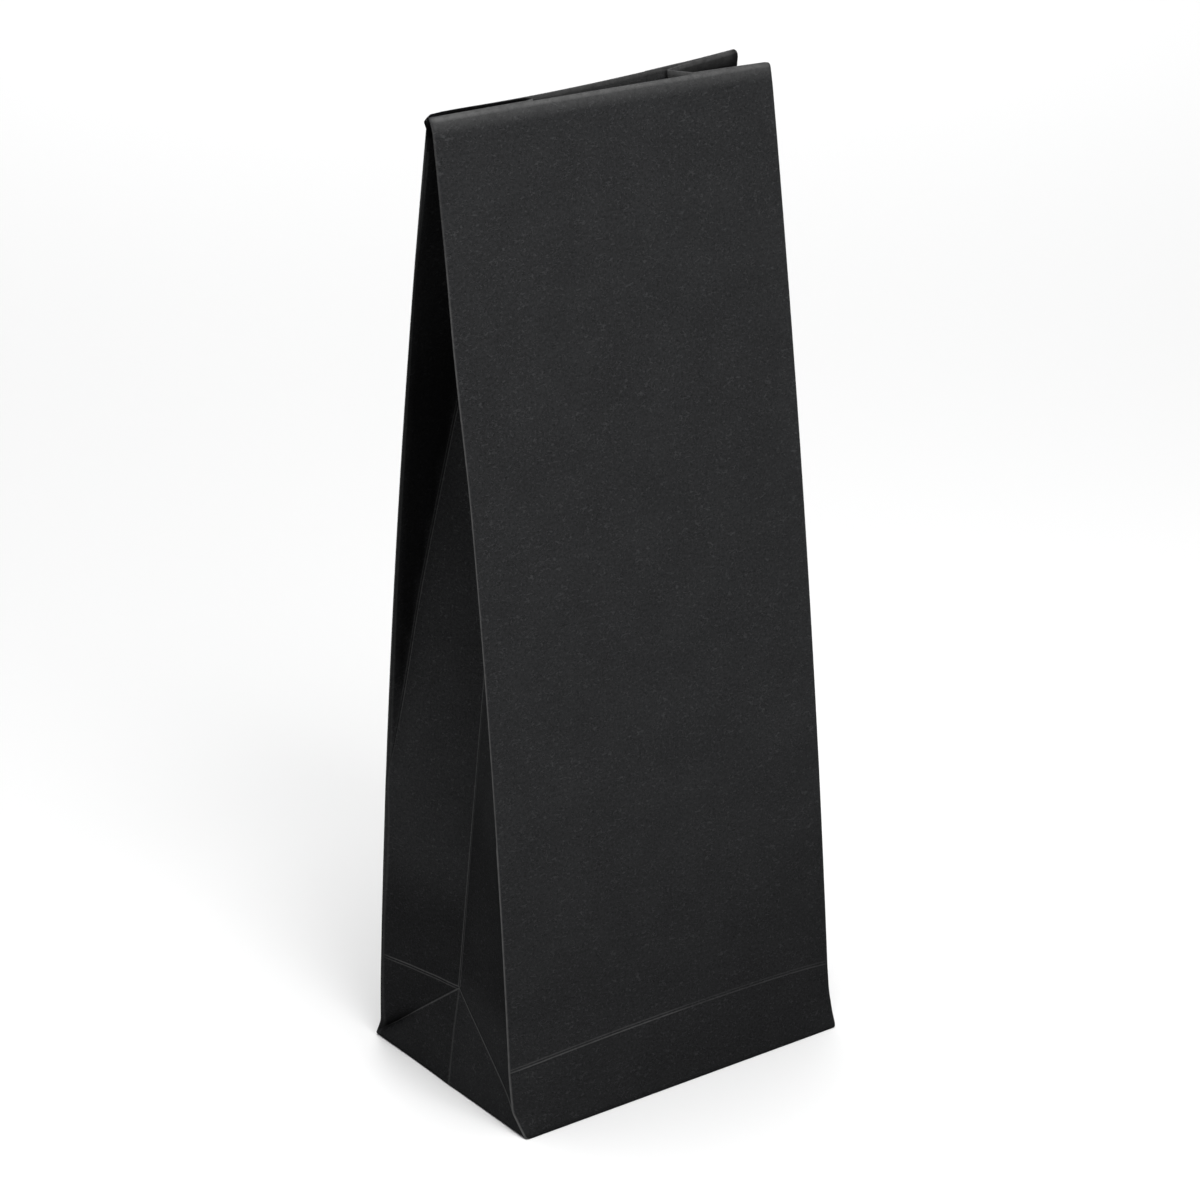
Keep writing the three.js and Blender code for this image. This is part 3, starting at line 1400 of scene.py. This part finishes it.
class Bench:
    """Lays out the nodes of one finish and wires them together."""

    def __init__(self, tree: bpy.types.NodeTree) -> None:
        """Starts from an empty tree."""
        self.tree = tree
        tree.nodes.clear()

    def add(self, kind: str, **settings: object) -> bpy.types.Node:
        """Adds one node.

        Args:
            kind: the node's type.
            settings: the node's settings, by name.

        Returns:
            The node.
        """
        node = self.tree.nodes.new(kind)
        for name, value in settings.items():
            setattr(node, name, value)
        return node

    def feed(self, socket: Socket, value: "Socket | float | tuple") -> None:
        """Wires a socket to another one, or sets its number.

        Args:
            socket: the socket to feed.
            value: what it gets.
        """
        if isinstance(value, Socket):
            self.tree.links.new(value, socket)
        else:
            socket.default_value = value

    def fed(self, node: bpy.types.Node, **terms: "Socket | float | tuple") -> Socket:
        """Feeds a node by the names of its sockets, with a low line for a space.

        Args:
            node: the node.
            terms: what each named socket gets.

        Returns:
            The node's first output.
        """
        for name, term in terms.items():
            self.feed(node.inputs[name.replace("_", " ")], term)
        return node.outputs[0]

    def end(self, kind: str, surface: Socket) -> None:
        """Ends the wiring at an output node of that type."""
        self.feed(self.add(kind).inputs["Surface"], surface)

    def sum(self, operation: str, *terms: "Socket | float") -> Socket:
        """Adds one step of arithmetic.

        Args:
            operation: what to work out.
            terms: the numbers to work on, in order.

        Returns:
            The result.
        """
        node = self.add("ShaderNodeMath", operation=operation)
        for socket, term in zip(node.inputs, terms):
            self.feed(socket, term)
        return node.outputs[0]

    def slope(self, value: Socket, low: float, high: float, start: float = 0.0,
              end: float = 1.0) -> Socket:
        """Goes smoothly from start to end as the value goes from low to high."""
        node = self.add("ShaderNodeMapRange", interpolation_type="SMOOTHSTEP")
        return self.fed(node, Value=value, From_Min=low, From_Max=high, To_Min=start, To_Max=end)

    def noise(self, place: Socket, scale: float, detail: float, distortion: float = 0.0) -> Socket:
        """Soft clouds, about that many to each unit of the pattern coordinates."""
        node = self.add("ShaderNodeTexNoise", noise_dimensions="3D")
        return self.fed(node, Vector=place, Scale=scale, Detail=detail, Distortion=distortion)

    def spread(self, noise: Socket, clouds: Clouds) -> Socket:
        """Spreads soft clouds between what their darkest and palest give."""
        return self.slope(noise, *clouds.between, *clouds.gives)

    def cloudy(self, place: Socket, clouds: Clouds) -> Socket:
        """Soft clouds, spread between what their darkest and palest give."""
        return self.spread(self.noise(place, clouds.fineness, clouds.detail), clouds)

    def moved(self, place: Socket, shift: Triple, scale: Triple = (1.0, 1.0, 1.0),
              turn: float = 0.0) -> Socket:
        """Moves a pattern on the paper.

        Args:
            place: the pattern coordinates.
            shift: how far they are shifted.
            scale: how much they are stretched each way.
            turn: the angle that they are turned by.

        Returns:
            The new pattern coordinates.
        """
        node = self.add("ShaderNodeMapping")
        return self.fed(node, Vector=place, Location=shift, Scale=scale,
                        Rotation=(0.0, 0.0, turn))

    def mark(self, name: str) -> Socket:
        """What the mesh says of itself under a name."""
        return self.add("ShaderNodeAttribute", attribute_name=name).outputs["Fac"]

    def strongest(self, terms: list[Socket]) -> Socket:
        """Finds the largest of several strengths.

        Args:
            terms: the strengths.

        Returns:
            The largest.
        """
        top = terms[0]
        for term in terms[1:]:
            top = self.sum("MAXIMUM", top, term)
        return top

    def blend(self, share: "Socket | float", first: "Socket | Triple", second: "Socket | Triple",
              way: str = "MIX") -> Socket:
        """Blends two colours.

        Args:
            share: how much of the second colour to use.
            first: the first colour.
            second: the second colour.
            way: how the second colour acts on the first.

        Returns:
            The blended colour.
        """
        node = self.add("ShaderNodeMix", data_type="RGBA", blend_type=way)
        self.feed(node.inputs["Factor"], share)
        for socket, colour in ((node.inputs[6], first), (node.inputs[7], second)):
            self.feed(socket, colour if isinstance(colour, Socket) else (*colour, 1.0))
        return node.outputs[2]


@dataclass(frozen=True)
class FoldLine:
    """One fine line along a fold: pale for wear and painted highlight, dark for painted shade."""

    mark: str
    centre: float
    reach: float
    share: float


@dataclass(frozen=True)
class Fibres:
    """One layer of short curled fibres."""

    shift: Triple
    turn: float
    scale: float
    width: float
    keep: float


@dataclass(frozen=True)
class BlackKraft:
    """Matt black kraft paper with fine pale fibres, paler along folds for wear and painted
    highlight, with painted shade in folds and at the foot.
    """

    tone: Triple = (0.0222, 0.0226, 0.0234)
    # the pale lines' colour: worn paper, and painted highlight on rounded folds and rims
    wear_and_highlight_tone: Triple = (0.096, 0.096, 0.096)
    roughness: Pair = (0.75, 0.85)
    roughness_grain: Pair = (0.2, 0.8)
    gloss: float = 0.0
    grain: Clouds = Clouds(1.3, 3.0, (0.25, 0.75), (0.82, 1.18))
    patches: Clouds = Clouds(0.07, 3.0, (0.3, 0.7), (0.95, 1.05))
    fray: Clouds = Clouds(0.5, 3.0, (0.3, 0.62), (0.74, 1.0))
    fibre_layers: tuple[Fibres, ...] = (
        Fibres((3.0, 9.0, 1.0), 0.15, 0.62, 0.040, 0.47),
        Fibres((71.0, 5.0, 4.0), -0.50, 0.72, 0.045, 0.48),
        Fibres((17.0, 43.0, 8.0), 0.85, 0.58, 0.040, 0.51),
        Fibres((29.0, 61.0, 2.0), -1.30, 0.80, 0.045, 0.53),
    )
    fibre_stretch: Triple = (0.6, 1.25, 1.0)
    fibre_detail: float = 0.4
    fibre_curl: float = 1.2
    fibre_breaks: float = 1.5
    break_softness: float = 0.06
    fibre_gain: float = 1.05
    halo: float = 0.42
    halo_width: float = 2.6
    relief: float = 0.0001
    relief_strength: float = 0.8
    grain_relief: float = 0.5
    # how far the painted shade darkens the paper at full shade
    depth_of_shade: float = 0.88
    # pale lines: worn paper along the folds, and painted highlight where rounded folds and rims
    # catch the light
    wear_and_highlight_lines: tuple[FoldLine, ...] = (
        FoldLine("rim", 0.5, 1.4, 0.95),
        FoldLine("rim", 0.5, 4.3, 0.42),
        FoldLine("back_edge", 1.0, 0.9, 0.60),
        FoldLine("upright_fold", -0.05, 0.60, 1.0),
        FoldLine("low_crease", 0.2, 0.30, 0.35),
        FoldLine("centre_crease", 0.45, 0.32, 0.50),
        FoldLine("base_crease", 0.10, 0.30, 0.60),
        FoldLine("base_crease", 0.85, 0.28, 0.35),
        FoldLine("apex_crease", 0.30, 0.32, 0.62),
        FoldLine("apex_crease", -0.50, 0.30, 0.45),
        FoldLine("corner_crease", -0.10, 0.38, 0.60),
        FoldLine("flap_fold", 0.45, 0.28, 0.42),
        FoldLine("flap_fold", -0.45, 0.28, 0.30),
    )
    # dark lines: painted shade in fold valleys and beside the upright folds, and a painted contact
    # shadow along the foot
    painted_shade_lines: tuple[FoldLine, ...] = (
        FoldLine("upright_fold", -0.75, 0.45, 0.55),
        FoldLine("centre_crease", 0.0, 0.28, 0.35),
        FoldLine("base_crease", -0.35, 0.30, 0.35),
        FoldLine("apex_crease", -0.08, 0.28, 0.40),
        FoldLine("corner_crease", 0.50, 0.45, 0.55),
        FoldLine("flap_fold", 0.0, 0.28, 0.60),
        FoldLine("foot", 0.3, 2.2, 0.50),
    )

    def fibres(self, bench: Bench, place: Socket, layer: Fibres) -> tuple[Socket, Socket]:
        """Lays short curled fibres that lie about one way.

        Args:
            bench: the bench to work on.
            place: the pattern coordinates in mm.
            layer: the layer of fibres to lay.

        Returns:
            1 on a fibre and 0 beside it, then 1 on and close around a fibre.
        """
        lay = bench.moved(place, layer.shift, self.fibre_stretch, layer.turn)
        clouds = bench.noise(lay, layer.scale, self.fibre_detail, self.fibre_curl)
        off = bench.sum("ABSOLUTE", bench.sum("SUBTRACT", clouds, 0.5))
        elsewhere = bench.moved(place, layer.shift[::-1])
        broken = bench.noise(elsewhere, layer.scale * self.fibre_breaks, 0.0)
        whole = bench.slope(broken, layer.keep, layer.keep + self.break_softness)
        thin = bench.slope(off, 0.0, layer.width, 1.0, 0.0)
        wide = bench.slope(off, 0.0, layer.width * self.halo_width, 1.0, 0.0)
        return bench.sum("MULTIPLY", thin, whole), bench.sum("MULTIPLY", wide, whole)

    def band(self, bench: Bench, line: FoldLine) -> Socket:
        """A soft line beside a fold, strongest in its middle."""
        off = bench.sum("ABSOLUTE", bench.sum("SUBTRACT", bench.mark(line.mark), line.centre))
        return bench.slope(off, 0.0, line.reach, line.share, 0.0)

    def bands(self, bench: Bench, lines: tuple[FoldLine, ...]) -> Socket:
        """The strongest of several soft lines."""
        return bench.strongest([self.band(bench, line) for line in lines])

    def paper_tone(self, bench: Bench, place: Socket, grain: Socket, fibre: Socket,
                   around: Socket) -> Socket:
        """Works out how pale the open paper is.

        Args:
            bench: the bench to work on.
            place: the pattern coordinates in mm.
            grain: the fine clouds in the paper.
            fibre: 1 on a fibre.
            around: 1 on and close around a fibre.

        Returns:
            The share of the paper's plain tone.
        """
        tone = bench.sum("MULTIPLY", bench.spread(grain, self.grain),
                         bench.cloudy(place, self.patches))
        tone = bench.sum("SUBTRACT", tone, bench.sum("MULTIPLY", around, self.halo))
        return bench.sum("ADD", tone, bench.sum("MULTIPLY", fibre, self.fibre_gain))

    def material(self) -> bpy.types.Material:
        """Mixes the finish.

        Returns:
            The finish, on the paper's own coordinates and marks.
        """
        material = bpy.data.materials.new("black kraft")
        material.use_nodes = True
        bench = Bench(material.node_tree)
        uv = bench.add("ShaderNodeUVMap", uv_map="paper").outputs[0]
        place = bench.moved(uv, (0.0, 0.0, 0.0), (SHEET_SPAN, SHEET_SPAN, SHEET_SPAN))
        grain = bench.noise(place, self.grain.fineness, self.grain.detail)
        layers = [self.fibres(bench, place, layer) for layer in self.fibre_layers]
        fibre = bench.strongest([thin for thin, _ in layers])
        around = bench.strongest([wide for _, wide in layers])
        tone = self.paper_tone(bench, place, grain, fibre, around)

        # the pale lines lay worn paper and painted highlight over the tone
        worn = bench.sum("MULTIPLY", bench.cloudy(place, self.fray), bench.mark("wear_and_highlight"))
        pale = bench.sum("MULTIPLY", self.bands(bench, self.wear_and_highlight_lines), worn)
        # painted shade from the mesh and the dark lines darkens the tone
        painted_shade = bench.sum("MULTIPLY", bench.mark("shade"), self.depth_of_shade)
        dark = bench.sum("MAXIMUM", self.bands(bench, self.painted_shade_lines), painted_shade)
        tone = bench.sum("MULTIPLY", tone, bench.sum("SUBTRACT", 1.0, dark))
        grey = bench.fed(bench.add("ShaderNodeCombineColor"), Red=tone, Green=tone, Blue=tone)
        plain = bench.blend(1.0, self.tone, grey, "MULTIPLY")

        relief = bench.sum("ADD", fibre, bench.sum("MULTIPLY", grain, self.grain_relief))
        bump = bench.fed(bench.add("ShaderNodeBump"), Strength=self.relief_strength,
                         Distance=self.relief, Height=relief)
        skin = bench.fed(bench.add("ShaderNodeBsdfPrincipled"),
                         Base_Color=bench.blend(pale, plain, self.wear_and_highlight_tone),
                         Roughness=bench.slope(grain, *self.roughness_grain, *self.roughness),
                         Specular_IOR_Level=self.gloss, Normal=bump)
        bench.end("ShaderNodeOutputMaterial", skin)
        return material


@dataclass(frozen=True)
class PaleFloor:
    """A plain pale floor with no edge in sight."""

    reach: float = 8.0
    tone: Triple = (0.90, 0.90, 0.90)
    dull_tone: Triple = (0.85, 0.85, 0.85)
    unevenness: Clouds = Clouds(3.0, 2.0, (0.3, 0.7), (0.995, 1.0))
    roughness: float = 0.9
    gloss: float = 0.2

    def material(self) -> bpy.types.Material:
        """Mixes the floor's matt paint.

        Returns:
            The paint, with a trace of unevenness.
        """
        material = bpy.data.materials.new("pale floor")
        material.use_nodes = True
        bench = Bench(material.node_tree)
        place = bench.add("ShaderNodeTexCoord").outputs["Object"]
        uneven = bench.cloudy(place, self.unevenness)
        skin = bench.fed(bench.add("ShaderNodeBsdfPrincipled"),
                         Base_Color=bench.blend(uneven, self.dull_tone, self.tone),
                         Roughness=self.roughness, Specular_IOR_Level=self.gloss)
        bench.end("ShaderNodeOutputMaterial", skin)
        return material

    def build(self) -> bpy.types.Object:
        """Lays the floor.

        Returns:
            The floor, painted.
        """
        ground = bmesh.new()
        bmesh.ops.create_grid(ground, x_segments=4, y_segments=4, size=self.reach)
        mesh = bpy.data.meshes.new("floor")
        ground.to_mesh(mesh)
        ground.free()
        floor = bpy.data.objects.new("floor", mesh)
        mesh.materials.append(self.material())
        bpy.context.collection.objects.link(floor)
        return floor


def look_along(place: Triple, way: Vector) -> Matrix:
    """Stands something at a place, looking a given way."""
    return Matrix.Translation(place) @ way.to_track_quat("-Z", "Y").to_matrix().to_4x4()


@dataclass(frozen=True)
class Softbox:
    """One large soft light near the bag, in metres and watts."""

    name: str
    place: Triple
    aim: Triple
    size: float
    power: float

    def build(self) -> bpy.types.Object:
        """Hangs the light.

        Returns:
            The light.
        """
        light = bpy.data.lights.new(self.name, "AREA")
        light.shape = "SQUARE"
        light.size = self.size
        light.energy = self.power
        lamp = bpy.data.objects.new(self.name, light)
        lamp.matrix_world = look_along(self.place, Vector(self.aim) - Vector(self.place))
        bpy.context.collection.objects.link(lamp)
        return lamp


@dataclass(frozen=True)
class Ceiling:
    """Soft light that falls evenly from high up, out of one part of the ceiling."""

    name: str
    lean: float
    spread: float
    strength: float
    hook: Triple = (0.0, 0.0, 2.0)

    def build(self) -> bpy.types.Object:
        """Hangs the light, leaning to the back by that many degrees.

        Returns:
            The light.
        """
        light = bpy.data.lights.new(self.name, "SUN")
        light.energy = self.strength
        light.angle = math.radians(self.spread)
        lamp = bpy.data.objects.new(self.name, light)
        lean = math.radians(self.lean)
        lamp.matrix_world = look_along(self.hook, Vector((0, -math.sin(lean), -math.cos(lean))))
        bpy.context.collection.objects.link(lamp)
        return lamp


@dataclass(frozen=True)
class Studio:
    """A bright white room with soft lights above and in front of the bag."""

    sky: float = 0.08
    lights: tuple[Softbox | Ceiling, ...] = (
        Softbox("key softbox", (-0.06, -0.42, 0.56), (0.0, 0.0, 0.13), 0.35, 2.15),
        Softbox("upper softbox", (-0.119, -0.224, 0.674), (0.0, 0.0, 0.13), 0.30, 1.2),
        Softbox("background softbox", (0.9, 1.3, 1.0), (0.9, 1.3, 0.0), 1.2, 5.5),
        Ceiling("overhead light", 0.0, 60.0, 1.57),
        Ceiling("light from the back", 30.0, 50.0, 0.79),
    )

    def build(self) -> list[bpy.types.Object]:
        """Lights the scene.

        Returns:
            The lights.
        """
        world = bpy.data.worlds.new("white room")
        world.use_nodes = True
        bench = Bench(world.node_tree)
        sky = bench.fed(bench.add("ShaderNodeBackground"), Color=(1.0, 1.0, 1.0, 1.0),
                        Strength=self.sky)
        bench.end("ShaderNodeOutputWorld", sky)
        bpy.context.scene.world = world
        bpy.context.scene.view_settings.view_transform = "Standard"
        return [light.build() for light in self.lights]


@dataclass(frozen=True)
class PhotoCamera:
    """The camera, where the photograph was taken from, in metres and radians."""

    place: Triple = (-0.5013, -0.6855, 0.46085)
    yaw: float = 0.63044
    pitch: float = 0.37292
    roll: float = -0.0063
    lens: float = 103.29
    sensor: float = 36.0
    nearest: float = 0.05
    farthest: float = 50.0

    def build(self) -> bpy.types.Object:
        """Sets the camera up and makes it the scene's own.

        Returns:
            The camera.
        """
        right = Vector((math.cos(self.yaw), -math.sin(self.yaw), 0))
        ahead = Vector((math.sin(self.yaw) * math.cos(self.pitch),
                        math.cos(self.yaw) * math.cos(self.pitch), -math.sin(self.pitch)))
        above = right.cross(ahead)
        turned_right = right * math.cos(self.roll) + above * math.sin(self.roll)
        turned_above = above * math.cos(self.roll) - right * math.sin(self.roll)
        data = bpy.data.cameras.new("camera")
        data.lens = self.lens
        data.sensor_width = self.sensor
        data.clip_start = self.nearest
        data.clip_end = self.farthest
        camera = bpy.data.objects.new("camera", data)
        turn = Matrix((turned_right, turned_above, -ahead)).transposed().to_4x4()
        camera.matrix_world = Matrix.Translation(self.place) @ turn
        bpy.context.collection.objects.link(camera)
        bpy.context.scene.camera = camera
        return camera


def main() -> None:
    """Builds the studio and the bag in order, and reports each piece."""
    logging.basicConfig(level=logging.INFO, format="%(name)s: %(message)s")
    camera = PhotoCamera().build()
    LOG.info("%s: %.1f mm lens", camera.name, camera.data.lens)
    for lamp in Studio().build():
        LOG.info("%s hung", lamp.name)
    floor = PaleFloor().build()
    LOG.info("%s laid", floor.name)
    maker = KraftBag()
    bag = maker.build()
    maker.dress(bag, BlackKraft())
    LOG.info("%s: %d faces", bag.name, len(bag.data.polygons))


if __name__ == "__main__":
    main()
